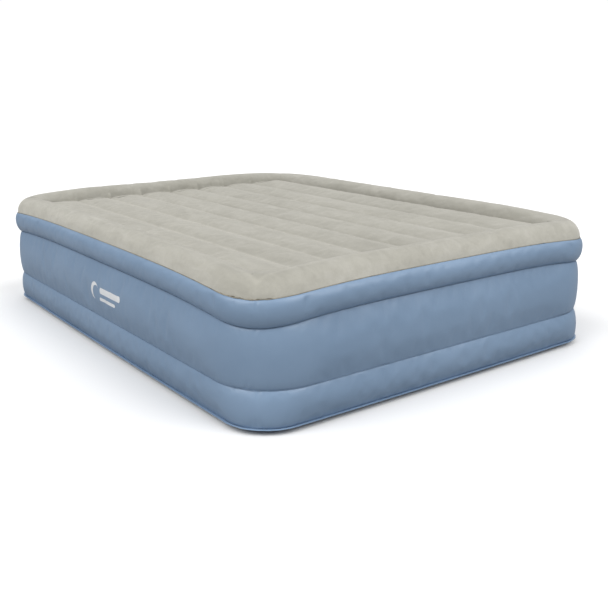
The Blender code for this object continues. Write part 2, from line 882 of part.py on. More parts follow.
# ---------------------------------------------------------------- dial and valve
dial = pump_solid(
    "mode_dial", circle(DIAL_R, 28, DIAL_X, 0), 1, -4, 2.6, "pump_shell", DIAL
)
join(
    dial,
    pump_solid(
        "dial_grip", rounded(6, 27, 4, 3, cx=DIAL_X), 1, 1.0, 10.7, None
    ),
)
cut(
    dial,
    pump_solid("dial_socket", circle(SHAFT_R + 0.4, 12, DIAL_X, 0), 1, -8, 3, None),
)
pump_solid(
    "dial_shaft",
    circle(SHAFT_R, 12, DIAL_X, 0),
    1,
    -100,
    2.6,
    "steel",
    DIAL,
    smooth=True,
)
turned("switch_body", ring_profile(5, 20, -15, -5.5), 1, DIAL, "carbon", n=16)
sleeve = turned(
    "valve_sleeve",
    ring_profile(SLEEVE_R[0], SLEEVE_R[1], -101, -18),
    1,
    DIAL,
    "pump_shell",
    n=24,
)
cut(
    sleeve,
    pump_solid("sleeve_port_a", circle(9, 12, MOTOR_Y, 0), 0, 15, 38, None),
    pump_solid("sleeve_port_b", circle(6.3, 12, -27, 0), 0, 15, 38, None),
)
rotor = turned(
    "valve_rotor", ring_profile(SHAFT_R + 0.4, 24.4, -98, -20), 1, DIAL, "pump_trim"
)
cut(
    rotor,
    pump_box("rotor_port_a", (20, 42), (-88, -60), (-11, 11)),
    pump_box("rotor_port_b", (20, 42), (-38, -21.5), (-9, 9)),
)

# ---------------------------------------------------------------- blower
MOTOR = (-50, MOTOR_Y, 0)
volute = turned(
    "volute",
    [
        (4.5, -14),
        (38, -14),
        (38, 11),
        (15, 11),
        (15, 21.5),
        (13, 21.5),
        (13, 9.2),
        (36.2, 9.2),
        (36.2, -12.2),
        (4.5, -12.2),
    ],
    0,
    MOTOR,
    "pump_shell",
    n=24,
    origin=(0, MOTOR_Y, 0),
)
cut(
    volute,
    pump_box("volute_outlet", (-7, 4), (-52, -30), (17, 31)),
)
swept_tube(
    "outlet_duct",
    [
        (-1.5, -45.2, 25.9),
        (-1.5, -37, 33.3),
        (2, -29, 27),
        (8, -27, 12),
        (14, -27, 2.5),
        (21.4, -27, 0),
    ],
    7.2,
    6.0,
    "pump_shell",
)
impeller = turned(
    "impeller",
    ring_profile(MOTOR_SHAFT_R + 0.4, 31, -10.5, -9),
    0,
    MOTOR,
    "pump_trim",
    n=20,
    origin=(0, MOTOR_Y, 0),
)
blades_v, blades_f = [], []
for k in range(8):
    a = 2 * math.pi * k / 8
    section = []
    for r, turn, side in (
        (7, 0.0, -0.8),
        (7, 0.0, 0.8),
        (18, -0.28, 0.8),
        (29.5, -0.62, 0.8),
        (29.5, -0.62, -0.8),
        (18, -0.28, -0.8),
    ):
        b = a + turn
        section.append(
            (
                MOTOR_Y + r * math.cos(b) - side * math.sin(b),
                r * math.sin(b) + side * math.cos(b),
            )
        )
    v, f = prism(section, 0, -9.6, 6.5)
    blades_f += [tuple(i + len(blades_v) for i in face) for face in f]
    blades_v += [at(*p) for p in v]
join(impeller, add("impeller_blades", blades_v, blades_f, None))

pump_solid(
    "motor_shaft",
    circle(MOTOR_SHAFT_R, 10, MOTOR_Y, 0),
    0,
    -85,
    1.0,
    "steel",
    MOTOR,
    smooth=True,
)
teeth = []
for k in range(10):
    for r, turn in ((14, 0.05), (17, 0.12), (17, 0.88), (14, 0.95)):
        a = 2 * math.pi * (k + turn) / 10
        teeth.append((MOTOR_Y + r * math.cos(a), r * math.sin(a)))
armature = pump_solid("armature", teeth, 0, -66, -34, "steel", MOTOR)
cut(
    armature,
    pump_solid(
        "armature_bore", circle(MOTOR_SHAFT_R + 0.4, 10, MOTOR_Y, 0), 0, -70, -30, None
    ),
)
turned(
    "commutator",
    ring_profile(MOTOR_SHAFT_R + 0.4, 8, -76, -68),
    0,
    MOTOR,
    "copper",
    n=16,
)
turned("field_ring", ring_profile(18.2, 24.4, -68, -32), 0, MOTOR, "steel", n=20)
turned(
    "motor_can",
    [
        (24.9, -80),
        (MOTOR_R, -80),
        (MOTOR_R, -19),
        (6.4, -19),
        (6.4, -20.5),
        (24.9, -20.5),
    ],
    0,
    MOTOR,
    "steel",
)
turned("motor_end_cap", ring_profile(6.4, MOTOR_R, -83.5, -80.4), 0, MOTOR, "pump_shell")
for name, low, high in (
    ("bearing_front", -25, -18.5),
    ("bearing_rear", -84.5, -79),
):
    turned(name, ring_profile(MOTOR_SHAFT_R + 0.3, 6.0, low, high), 0, MOTOR, "steel", 14)
for name, low, high in (("brush_1", 8.5, 22), ("brush_2", -22, -8.5)):
    pump_box(
        name, (-75, -69), (MOTOR_Y - 2.5, MOTOR_Y + 2.5), (low, high), "carbon", MOTOR
    )
turned("motor_mount", ring_profile(26.4, 31, -60, -50), 0, MOTOR, "seal_rubber")

# ---------------------------------------------------------------- check flap
FLAP = (DIAL_X, FLAP_AXIS_Y, FLAP_AXIS_Z)
flap = pump_solid(
    "check_flap", circle(21, 20, DIAL_X, 0), 1, -120.6, -118.4, "seal_rubber", FLAP
)
join(
    flap,
    pump_box("flap_tab", (44.2, 55.8), (-120.9, -118.9), (17, 26)),
    pump_solid(
        "flap_knuckle", circle(2.0, 12, FLAP_AXIS_Y, FLAP_AXIS_Z), 0, 44, 56, None
    ),
)
cut(
    flap,
    pump_solid(
        "flap_bore", circle(1.15, 8, FLAP_AXIS_Y, FLAP_AXIS_Z), 0, 36, 64, None
    ),
)
pump_solid(
    "flap_hinge_pin",
    circle(0.8, 8, FLAP_AXIS_Y, FLAP_AXIS_Z),
    0,
    40.3,
    59.7,
    "steel",
    FLAP,
    smooth=True,
)

# ---------------------------------------------------------------- internal wiring
lead(
    "live_lead",
    [
        (-30, -46, 30),
        (-24, -48, 37),
        (-15.5, -40, 44),
        (-8, -22, 46),
        (16, -13, 40),
        (33, -10.5, 25),
        (38.5, -10, 17.5),
    ],
    1.1,
    "lead_brown",
)
lead(
    "neutral_lead",
    [
        (-34, -46, 30),
        (-46, -48, 37),
        (-62, -54, 38),
        (-72, -60, 32),
        (-74, -62, 26.5),
    ],
    1.1,
    "lead_blue",
)
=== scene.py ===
import json
import math

import bmesh
import bpy
import numpy as np
from mathutils import Matrix, Vector
from mathutils.bvhtree import BVHTree


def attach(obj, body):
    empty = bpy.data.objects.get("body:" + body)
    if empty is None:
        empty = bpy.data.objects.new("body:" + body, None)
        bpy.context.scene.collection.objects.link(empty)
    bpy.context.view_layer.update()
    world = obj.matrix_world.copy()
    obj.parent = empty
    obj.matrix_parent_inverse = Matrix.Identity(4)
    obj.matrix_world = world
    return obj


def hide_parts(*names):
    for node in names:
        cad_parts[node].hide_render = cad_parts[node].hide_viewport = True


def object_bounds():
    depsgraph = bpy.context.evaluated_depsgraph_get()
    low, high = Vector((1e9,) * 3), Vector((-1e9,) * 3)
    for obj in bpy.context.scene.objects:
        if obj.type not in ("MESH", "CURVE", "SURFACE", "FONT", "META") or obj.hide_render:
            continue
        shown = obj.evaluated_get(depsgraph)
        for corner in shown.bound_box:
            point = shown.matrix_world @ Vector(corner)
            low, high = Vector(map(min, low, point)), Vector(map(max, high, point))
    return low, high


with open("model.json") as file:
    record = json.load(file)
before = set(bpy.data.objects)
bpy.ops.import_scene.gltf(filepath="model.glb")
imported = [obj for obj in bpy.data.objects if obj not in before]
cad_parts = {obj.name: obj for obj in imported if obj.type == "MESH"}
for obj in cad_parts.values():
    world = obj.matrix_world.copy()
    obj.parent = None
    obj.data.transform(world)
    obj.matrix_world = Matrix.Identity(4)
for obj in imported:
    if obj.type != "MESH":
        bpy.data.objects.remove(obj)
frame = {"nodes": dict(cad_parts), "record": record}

CAD_BOX = [list(map(float, c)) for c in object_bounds()]
scene = bpy.context.scene
rng = np.random.default_rng(7)

# ------------------------------------------------------------------ sizes, as in the CAD design
HEIGHT = 0.460
BOTTOM = (0.7405, 0.9955, 0.136, 0.0170, 0.0000, 0.005)
LOWER = (0.7500, 1.0050, 0.190, 0.1280, 0.0000, 0.000)
UPPER = (0.7396, 0.9946, 0.160, 0.3266, -0.0300, 0.000)
TOP = (0.7520, 1.0070, 0.180, 0.4068, -0.0260, -0.012)
CREST_IN, WELD_IN, WELD_Z = 0.054, 0.116, 0.416
CHANNELS, PITCH = 8, 0.15525
VALLEY_Z, RISE, END = 0.4030, 0.0190, 0.085
EDGE_X = PITCH * CHANNELS / 2
EDGE_Y = TOP[1] - WELD_IN
PUMP = Vector((-0.430, 1.0035, 0.2215))
MM = 0.001

STEP = 0.0090
CORNER_STEP = 0.0036


# ------------------------------------------------------------------ shape helpers
def hash_noise(shape_points, cells, seed):
    """Smooth value noise in 3-D, -1 to 1, the same every run."""
    p = np.asarray(shape_points, float) * np.asarray(cells, float)
    i = np.floor(p).astype(np.int64)
    f = p - i
    f = f * f * (3 - 2 * f)
    out = np.zeros(len(p))
    for dx in (0, 1):
        for dy in (0, 1):
            for dz in (0, 1):
                k = i + np.array([dx, dy, dz])
                h = (k[:, 0] * 73856093) ^ (k[:, 1] * 19349663) ^ (k[:, 2] * 83492791) ^ (seed * 2654435)
                h = (h ^ (h >> 13)) * 1274126177
                h = (h ^ (h >> 16)) & 0xFFFFFF
                w = (
                    (f[:, 0] if dx else 1 - f[:, 0])
                    * (f[:, 1] if dy else 1 - f[:, 1])
                    * (f[:, 2] if dz else 1 - f[:, 2])
                )
                out += w * (h / 0x7FFFFF - 1.0)
    return out


def stations():
    """(side, t) once round the bed at about one step: sides 0-3 are straight, 4-7 are the corners after them."""
    nx = max(2, round(2 * (TOP[0] - TOP[2]) / STEP))
    ny = max(2, round(2 * (TOP[1] - TOP[2]) / STEP))
    nc = 2 * max(2, round(TOP[2] * math.pi / 4 / CORNER_STEP))
    side, t = [], []
    for k in range(4):
        n = (nx, ny)[k % 2]
        side += [k] * n
        t += [i / n for i in range(n)]
        side += [4 + k] * nc
        t += [i / nc for i in range(nc)]
    return np.array(side), np.array(t), nx, ny, nc


SIDE, T, NX, NY, NC = stations()
M = len(SIDE)


def loop(seam, inset=0.0, dip_scale=1.0):
    """The loop of a seam drawn inwards by inset: points, outward normals and corner measure u."""
    hx, hy, r, z0, dip, bow = seam
    r_in = max(r - inset, 0.004)
    shift = max(inset - (r - 0.004), 0.0)
    sx, sy = hx - r, hy - r
    k = SIDE % 4
    straight = SIDE < 4
    q = np.radians(-90 + 90 * k)
    a = np.where(straight, q, q + np.radians(90 * T))
    n = np.stack([np.cos(a), np.sin(a)], 1)
    along = 2 * T - 1
    cx = np.choose(k, [sx, sx, -sx, -sx])
    cy = np.choose(k, [-sy, sy, sy, -sy])
    x = np.where(
        straight,
        np.choose(k, [sx * along, hx - inset + 0 * along, -sx * along, -(hx - inset) + 0 * along]),
        cx - np.sign(cx) * shift + r_in * np.cos(a),
    )
    y = np.where(
        straight,
        np.choose(k, [-(hy - inset) + 0 * along, sy * along, hy - inset + 0 * along, -sy * along]),
        cy - np.sign(cy) * shift + r_in * np.sin(a),
    )
    ux, uy = np.abs(x) / hx, np.abs(y) / hy
    mixed = np.clip(0.5 + 0.5 * (uy - ux) / 0.09, 0, 1)
    u = uy * (1 - mixed) + ux * mixed - 0.09 * mixed * (1 - mixed) + 0.004
    z = z0 + dip_scale * dip * u**4
    bx = np.where(ux > uy, bow * np.clip(1 - uy * uy, 0, 1) * np.sign(x), 0)
    by = np.where(ux > uy, 0, bow * np.clip(1 - ux * ux, 0, 1) * np.sign(y))
    return np.stack([x + bx, y + by, z], 1), np.stack([n[:, 0], n[:, 1], 0 * a], 1), u


def make_mesh(name, verts, quads, mat=None, smooth=True):
    mesh = bpy.data.meshes.new(name)
    mesh.vertices.add(len(verts))
    mesh.vertices.foreach_set("co", np.asarray(verts, np.float32).ravel())
    quads = np.asarray(quads, np.int32)
    mesh.loops.add(quads.size)
    mesh.loops.foreach_set("vertex_index", quads.ravel())
    mesh.polygons.add(len(quads))
    mesh.polygons.foreach_set("loop_start", np.arange(0, quads.size, 4, dtype=np.int32))
    mesh.polygons.foreach_set("loop_total", np.full(len(quads), 4, np.int32))
    mesh.update(calc_edges=True)
    mesh.validate()
    if smooth:
        mesh.shade_smooth()
    obj = bpy.data.objects.new(name, mesh)
    scene.collection.objects.link(obj)
    if mat:
        mesh.materials.append(mat)
    return obj


def grid_quads(rows, cols, wrap=True):
    i = np.arange(rows - 1)[:, None]
    j = np.arange(cols if wrap else cols - 1)[None, :]
    jn = (j + 1) % cols
    a = i * cols + j
    b = i * cols + jn
    c = (i + 1) * cols + jn
    d = (i + 1) * cols + j
    return np.stack(np.broadcast_arrays(a, b, c, d), -1).reshape(-1, 4)


def arc_length(p):
    """Distance round the loop to each of its points, and the loop's whole length."""
    step = np.linalg.norm(np.roll(p, -1, axis=0) - p, axis=1)
    return np.concatenate([[0], np.cumsum(step)[:-1]]), float(step.sum())


def creases(p, u, seed, every_corner, every_side, depth, side_depth, width, reach):
    """Short creases that run away from a weld, close together round the corners: (place, depth, width, reach, slant) rows."""
    s, total = arc_length(p)
    pick = np.random.default_rng(seed)
    rows, at = [], 0.0
    while at < total:
        i = int(np.searchsorted(s, at)) % len(s)
        c = float(np.clip((u[i] - 0.80) / 0.14, 0, 1))
        gap = every_side + (every_corner - every_side) * c
        rows.append(
            (
                at,
                (side_depth + (depth - side_depth) * c) * pick.uniform(0.35, 1.0),
                width * pick.uniform(0.7, 1.5),
                reach * pick.uniform(0.45, 1.25),
                pick.uniform(-0.35, 0.35),
            )
        )
        at += gap * pick.uniform(0.55, 1.5)
    return s, total, rows


def crease_depth(made, away):
    """How far each loop point at this distance from the weld is drawn in by the creases."""
    s, total, rows = made
    out = np.zeros(len(s))
    rise = away / (away + 0.0025)
    for at, depth, width, reach, slant in rows:
        d = (s - at - slant * away + total / 2) % total - total / 2
        near = np.abs(d) < 4 * width
        out[near] += depth * np.exp(-((d[near] / width) ** 2)) * math.exp(-((away / reach) ** 1.5)) * rise
    return out


def coords(mesh):
    p = np.empty(len(mesh.vertices) * 3, np.float32)
    mesh.vertices.foreach_get("co", p)
    return p.reshape(-1, 3).astype(float)


def set_coords(mesh, p):
    mesh.vertices.foreach_set("co", np.asarray(p, np.float32).ravel())
    mesh.update()


def inflate(obj, pins, pressure, slack, cap, frames=16, stiffness=30.0, bending=0.3):
    """Blows the sheet up with cloth simulation. pins (0-1) holds the welds, slack is spare cloth, cap the furthest a point may move."""
    mesh = obj.data
    before = coords(mesh)
    group = obj.vertex_groups.new(name="welds")
    levels = np.round(np.asarray(pins) * 20).astype(int)
    for level in np.unique(levels):
        if level > 0:
            group.add(np.nonzero(levels == level)[0].tolist(), float(level / 20), "REPLACE")
    cloth = obj.modifiers.new("Inflate", "CLOTH")
    s = cloth.settings
    s.quality = 4
    s.time_scale = 1.0
    s.mass = 0.25
    s.air_damping = 3.0
    s.tension_stiffness = stiffness
    s.compression_stiffness = stiffness
    s.shear_stiffness = stiffness * 0.4
    s.bending_stiffness = bending
    s.tension_damping = s.compression_damping = s.shear_damping = 15
    s.bending_damping = 1.0
    s.vertex_group_mass = "welds"
    s.pin_stiffness = 1.0
    s.use_pressure = True
    s.uniform_pressure_force = pressure
    s.shrink_min = -slack
    s.effector_weights.gravity = 0.0
    cloth.collision_settings.use_collision = False
    cloth.collision_settings.use_self_collision = False
    scene.frame_start, scene.frame_end = 1, frames + 1
    cloth.point_cache.frame_start, cloth.point_cache.frame_end = 1, frames + 1
    for f in range(1, frames + 1):
        scene.frame_set(f)
    graph = bpy.context.evaluated_depsgraph_get()
    e = obj.evaluated_get(graph)
    after = coords(e.data)
    obj.modifiers.remove(cloth)
    scene.frame_set(1)
    move = after - before
    move[~np.isfinite(move)] = 0
    far = np.linalg.norm(move, axis=1)
    scale = np.where(far > cap, cap / np.maximum(far, 1e-9), 1.0)
    set_coords(mesh, before + move * scale[:, None])
    print(f"{obj.name}: moved {far.mean() * 1000:.1f} mm on average, {far.max() * 1000:.1f} mm at most", flush=True)


def solidify(obj, thickness, offset=-1.0):
    m = obj.modifiers.new("Sheet", "SOLIDIFY")
    m.thickness = thickness
    m.offset = offset
    m.use_even_offset = False
    m.use_quality_normals = True
    return m


# ------------------------------------------------------------------ material helpers
def srgb(r, g, b):
    return tuple(((c / 255) / 12.92 if c / 255 <= 0.04045 else ((c / 255 + 0.055) / 1.055) ** 2.4) for c in (r, g, b))


class Nodes:
    """A small helper for building a material's node tree."""

    def __init__(self, name):
        self.mat = bpy.data.materials.new(name)
        self.mat.use_nodes = True
        self.tree = self.mat.node_tree
        self.shader = self.tree.nodes["Principled BSDF"]
        self.coord = self.new("ShaderNodeTexCoord")

    def new(self, kind, **props):
        node = self.tree.nodes.new(kind)
        for k, v in props.items():
            setattr(node, k, v)
        return node

    def link(self, a, b):
        self.tree.links.new(a, b)

    def place(self, scale=(1, 1, 1), rotate=(0, 0, 0)):
        m = self.new("ShaderNodeMapping")
        m.inputs["Scale"].default_value = scale
        m.inputs["Rotation"].default_value = rotate
        self.link(self.coord.outputs["Object"], m.inputs["Vector"])
        return m.outputs["Vector"]

    def noise(self, vector, scale, detail=2.0, rough=0.5, distortion=0.0):
        n = self.new("ShaderNodeTexNoise")
        n.inputs["Scale"].default_value = scale
        n.inputs["Detail"].default_value = detail
        n.inputs["Roughness"].default_value = rough
        n.inputs["Distortion"].default_value = distortion
        self.link(vector, n.inputs["Vector"])
        return n.outputs["Fac"]

    def ramp(self, fac, stops):
        r = self.new("ShaderNodeValToRGB")
        while len(r.color_ramp.elements) < len(stops):
            r.color_ramp.elements.new(0.5)
        for e, (at, colour) in zip(r.color_ramp.elements, stops):
            e.position = at
            e.color = (*colour, 1) if len(colour) == 3 else colour
        self.link(fac, r.inputs["Fac"])
        return r.outputs["Color"]

    def maths(self, op, a, b=None, c=None, clamp=False):
        n = self.new("ShaderNodeMath", operation=op, use_clamp=clamp)
        for slot, v in zip(n.inputs, (a, b, c)):
            if v is None:
                continue
            if isinstance(v, (int, float)):
                slot.default_value = v
            else:
                self.link(v, slot)
        return n.outputs[0]

    def mix(self, fac, a, b, mode="MIX"):
        n = self.new("ShaderNodeMix", data_type="RGBA", blend_type=mode)
        for slot, v in ((n.inputs["Factor"], fac), (n.inputs["A"], a), (n.inputs["B"], b)):
            pass
        sockets = [n.inputs[0], n.inputs[6], n.inputs[7]]
        for slot, v in zip(sockets, (fac, a, b)):
            if isinstance(v, (int, float)):
                slot.default_value = v
            elif isinstance(v, tuple):
                slot.default_value = (*v, 1) if len(v) == 3 else v
            else:
                self.link(v, slot)
        return n.outputs[2]

    def bump(self, height, strength, distance, normal=None):
        b = self.new("ShaderNodeBump")
        b.inputs["Strength"].default_value = strength
        b.inputs["Distance"].default_value = distance
        self.link(height, b.inputs["Height"])
        if normal is not None:
            self.link(normal, b.inputs["Normal"])
        return b.outputs["Normal"]

    def set(self, **values):
        for key, v in values.items():
            slot = self.shader.inputs[key.replace("_", " ")]
            if isinstance(v, (int, float, tuple)):
                slot.default_value = (*v, 1) if isinstance(v, tuple) and len(v) == 3 else v
            else:
                self.link(v, slot)
        return self.mat


FLOCK = srgb(160, 158, 149)
FLOCK_DARK = srgb(152, 150, 141)
FLOCK_LIGHT = srgb(168, 166, 158)
BLUE = srgb(131, 155, 182)
BLUE_DEEP = srgb(127, 151, 178)
BLUE_PALE = srgb(135, 159, 186)


def flock_material(name="flock_nap"):
    n = Nodes(name)
    wide = n.noise(n.place((1.0, 0.6, 1.0)), 5.5, 4, 0.55)
    brushed = n.noise(n.place((1.0, 0.38, 1.0), (0, 0, 0.25)), 24, 5, 0.62, 0.7)
    marks = n.noise(n.place((1.0, 1.0, 1.0)), 70, 3, 0.6, 0.4)
    fibres = n.noise(n.place(), 900, 2, 0.6)
    tone = n.maths("ADD", n.maths("MULTIPLY", wide, 0.42), n.maths("MULTIPLY", brushed, 0.40))
    tone = n.maths("ADD", tone, n.maths("MULTIPLY", marks, 0.18))
    colour = n.ramp(tone, [(0.36, FLOCK_DARK), (0.5, FLOCK), (0.64, FLOCK_LIGHT)])
    speck = n.ramp(fibres, [(0.30, (0.86, 0.86, 0.86)), (0.70, (1.08, 1.08, 1.08))])
    colour = n.mix(0.55, colour, n.mix(1.0, colour, speck, "MULTIPLY"))
    # Painted light and shade: a per-point attribute of painted sheen, highlight and shade, mixed with the brushed
    # random tone, scales the flock colour.
    sheen_shade_tone = n.new("ShaderNodeAttribute", attribute_name="painted_sheen_and_shade", attribute_type="GEOMETRY").outputs["Fac"]
    sheen_shade_tone = n.maths("ADD", sheen_shade_tone, n.maths("MULTIPLY", n.maths("SUBTRACT", brushed, 0.5), 0.10))
    colour = n.mix(1.0, colour, n.ramp(n.maths("MULTIPLY", sheen_shade_tone, 0.5), [(0.0, (0, 0, 0)), (1.0, (2, 2, 2))]), "MULTIPLY")
    h = n.maths("ADD", n.maths("MULTIPLY", brushed, 0.6), n.maths("MULTIPLY", marks, 0.4))
    nap = n.bump(fibres, 0.35, 0.0006)
    normal = n.bump(h, 0.30, 0.0035, nap)
    return n.set(
        Base_Color=colour,
        Roughness=0.93,
        Sheen_Weight=0.55,
        Sheen_Roughness=0.45,
        Sheen_Tint=srgb(235, 233, 226),
        Specular_IOR_Level=0.12,
        Normal=normal,
    )


def pvc_material(name="blue_pvc_skin", shift=1.0):
    n = Nodes(name)
    cloud = n.noise(n.place((1, 1, 1.6)), 3.2, 3, 0.5)
    haze = n.noise(n.place((1, 1, 1)), 26, 4, 0.6)
    grain = n.noise(n.place(), 650, 3, 0.6)
    tone = n.maths("ADD", n.maths("MULTIPLY", cloud, 0.8), n.maths("MULTIPLY", haze, 0.2))
    colour = n.ramp(
        tone,
        [
            (0.34, tuple(c * shift for c in BLUE_DEEP)),
            (0.50, tuple(c * shift for c in BLUE)),
            (0.68, tuple(c * shift for c in BLUE_PALE)),
        ],
    )
    rough = n.ramp(haze, [(0.3, (0.36,) * 3), (0.7, (0.46,) * 3)])
    soft = n.noise(n.place((1, 1, 1)), 11, 2, 0.5)
    fine = n.bump(grain, 0.10, 0.0004)
    normal = n.bump(soft, 0.10, 0.004, fine)
    return n.set(
        Base_Color=colour,
        Roughness=rough,
        Specular_IOR_Level=0.42,
        Coat_Weight=0.10,
        Coat_Roughness=0.30,
        Normal=normal,
    )


def plain_material(name, colour, roughness, metallic=0.0, grain=400, strength=0.12, vary=0.08, specular=0.5):
    n = Nodes(name)
    patch = n.noise(n.place(), 35, 3, 0.6)
    fine = n.noise(n.place(), grain, 3, 0.6)
    low = tuple(max(c * (1 - vary), 0) for c in colour)
    high = tuple(min(c * (1 + vary), 1) for c in colour)
    r0, r1 = max(roughness - 0.05, 0.02), min(roughness + 0.06, 1)
    return n.set(
        Base_Color=n.ramp(patch, [(0.35, low), (0.65, high)]),
        Roughness=n.ramp(fine, [(0.3, (r0,) * 3), (0.7, (r1,) * 3)]),
        Metallic=metallic,
        Specular_IOR_Level=specular,
        Normal=n.bump(fine, strength, 0.0003),
    )


flock = flock_material()
pvc = pvc_material()

# ------------------------------------------------------------------ camera
cam_data = bpy.data.cameras.new("camera")
cam = bpy.data.objects.new("camera", cam_data)
scene.collection.objects.link(cam)
cam_data.lens = 48.62
cam_data.sensor_width = 36
cam_data.clip_start, cam_data.clip_end = 0.05, 60
right = Vector((0.80620421, -0.59157858, -0.00833957))
up = Vector((0.16745819, 0.2146476, 0.96222875))
back = -Vector((0.56744385, 0.7771494, -0.27211448))
cam.matrix_world = Matrix(
    (
        (right.x, up.x, back.x, -1.83404241),
        (right.y, up.y, back.y, -2.72675458),
        (right.z, up.z, back.z, 0.97037707),
        (0, 0, 0, 1),
    )
)
scene.camera = cam

# ------------------------------------------------------------------ the flocked top
def top_rows():
    """Rows of the top from the outer seam over the rim to its inner weld."""
    rows, insets, where = [], [], []
    outer = 14
    inner = 12
    edge, _, edge_u = loop(TOP, 0.0)
    inner_edge, _, _ = loop(TOP, WELD_IN)
    outer_made = creases(edge, edge_u, 91, 0.013, 0.090, 0.0024, 0.0004, 0.0042, 0.024)
    inner_made = creases(inner_edge, edge_u, 92, 0.020, 0.090, 0.0028, 0.0005, 0.0060, 0.034)
    corner = np.clip((edge_u - 0.82) / 0.12, 0, 1)
    ragged = hash_noise(edge, (75, 75, 1), 47) + 0.7 * hash_noise(edge, (170, 170, 1), 48)
    ragged = np.clip(ragged, -0.1, 1.2) * (0.0001 + 0.0036 * corner)
    for i in range(outer + 1):
        a = math.pi / 2 * i / outer
        inset = CREST_IN * (1 - math.cos(a)) * 0.985 + 0.0008
        p, n, u = loop(TOP, inset)
        dip = TOP[4] * u**4
        low = TOP[3] + dip + 0.0012
        crest = HEIGHT - 0.0005 + 0.62 * dip
        p[:, 2] = low + (crest - low) * math.sin(a) ** 1.05
        p[:, 2] += ragged * (1.0, 0.55, 0.2)[i] if i < 3 else 0
        drawn = crease_depth(outer_made, 1.3 * inset + 0.02 * math.sin(a))
        p -= (n * math.cos(a) + np.array([0, 0, math.sin(a)])) * drawn[:, None]
        rows.append(p)
        insets.append(inset)
        where.append(a / (math.pi / 2))
    for i in range(1, inner + 1):
        a = math.pi / 2 * i / inner
        inset = CREST_IN + (WELD_IN - CREST_IN) * math.sin(a)
        p, n, u = loop(TOP, inset)
        dip = TOP[4] * u**4
        crest = HEIGHT - 0.0005 + 0.62 * dip
        weld = WELD_Z + 0.3 * dip
        p[:, 2] = weld + (crest - weld) * math.cos(a) ** 0.9
        drawn = crease_depth(inner_made, WELD_IN - inset + 0.02 * math.cos(a))
        p -= (-n * math.sin(a) + np.array([0, 0, math.cos(a)])) * drawn[:, None]
        rows.append(p)
        insets.append(inset)
        where.append(1 + a / (math.pi / 2))
    return rows, insets, where


def channel_height(x, y):
    """Height of the sleeping surface, and how near each point is to a weld (1 on it)."""
    k = (x + EDGE_X) / PITCH
    s = np.clip(k, 0, CHANNELS - 1e-6) % 1.0
    last = EDGE_X - PITCH
    outer = np.abs(x) > last
    s = np.where(outer, np.clip((np.abs(x) - last) / (TOP[0] - WELD_IN - 0.002 - last), 0, 1), s)
    hump = np.clip(4 * s * (1 - s), 0, 1) ** 0.56
    end = np.clip((EDGE_Y - np.abs(y)) / END, 0, 1)
    swell = np.sqrt(np.clip(1 - (1 - end) ** 2.2, 0, 1))
    near = np.clip(np.minimum.reduce([TOP[0] - WELD_IN - np.abs(x), EDGE_Y - np.abs(y)]) / 0.05, 0, 1)
    bowl = 0.008 * np.clip(np.abs(x) / EDGE_X, 0, 1) ** 3
    floor_z = VALLEY_Z + bowl + (WELD_Z - VALLEY_Z - 0.004 - bowl) * (1 - near) ** 2
    return floor_z + RISE * hump * swell, s


rows, insets, where = top_rows()
verts = np.concatenate(rows)
quads = grid_quads(len(rows), M)
base = (len(rows) - 1) * M
half = NC // 2
order = [(M - half + i) % M for i in range(M)]
nx, ny = NX + NC, NY + NC
front = order[0 : nx + 1]
right_side = order[nx : nx + ny + 1]
back_side = order[nx + ny : 2 * nx + ny + 1][::-1]
left_side = (order[2 * nx + ny :] + [order[0]])[::-1]
weld = rows[-1]
B, R, K, L = weld[front], weld[right_side], weld[back_side], weld[left_side]
c00, c10, c01, c11 = B[0], B[-1], K[0], K[-1]
u = ((B[:, 0] - c00[0]) / (c10[0] - c00[0]))[:, None, None]
v = ((L[:, 1] - c00[1]) / (c01[1] - c00[1]))[None, :, None]
core = (
    B[:, None] * (1 - v)
    + K[:, None] * v
    + L[None] * (1 - u)
    + R[None] * u
    - c00 * (1 - u) * (1 - v)
    - c10 * u * (1 - v)
    - c01 * (1 - u) * v
    - c11 * u * v
)
column = core[:, core.shape[1] // 2, 0]
knots_from, knots_to = [-EDGE_X - 0.02], [-EDGE_X - 0.02]
for k_valley in range(1, CHANNELS):
    at = k_valley * PITCH - EDGE_X
    knots_from.append(column[int(np.argmin(np.abs(column - at)))])
    knots_to.append(at)
knots_from.append(EDGE_X + 0.02)
knots_to.append(EDGE_X + 0.02)
shift = np.interp(core[..., 0], knots_from, np.array(knots_to) - np.array(knots_from))
core[..., 0] += shift * np.clip((EDGE_Y - np.abs(core[..., 1])) / 0.03, 0, 1)
cz, _ = channel_height(core[..., 0], core[..., 1])
index = np.full((nx + 1, ny + 1), -1, np.int64)
index[:, 0] = np.array(front) + base
index[:, ny] = np.array(back_side) + base
index[0, :] = np.array(left_side) + base
index[nx, :] = np.array(right_side) + base
inner_i, inner_j = np.meshgrid(np.arange(1, nx), np.arange(1, ny), indexing="ij")
index[1:nx, 1:ny] = len(verts) + np.arange((nx - 1) * (ny - 1)).reshape(nx - 1, ny - 1)
inside = core[1:nx, 1:ny].copy()
blend_in = np.minimum.reduce(
    [inner_i, nx - inner_i, inner_j, ny - inner_j]
).astype(float)
weld_z = np.full(blend_in.shape, WELD_Z - 0.004)
ease = np.clip(blend_in / 2.0, 0, 1)
inside[..., 2] = weld_z * (1 - ease) + cz[1:nx, 1:ny] * ease
verts = np.concatenate([verts, inside.reshape(-1, 3)])
i, j = np.meshgrid(np.arange(nx), np.arange(ny), indexing="ij")
core_quads = np.stack(
    [index[i, j], index[i + 1, j], index[i + 1, j + 1], index[i, j + 1]], -1
).reshape(-1, 4)
quads = np.concatenate([quads, core_quads])
rim_count = len(rows) * M

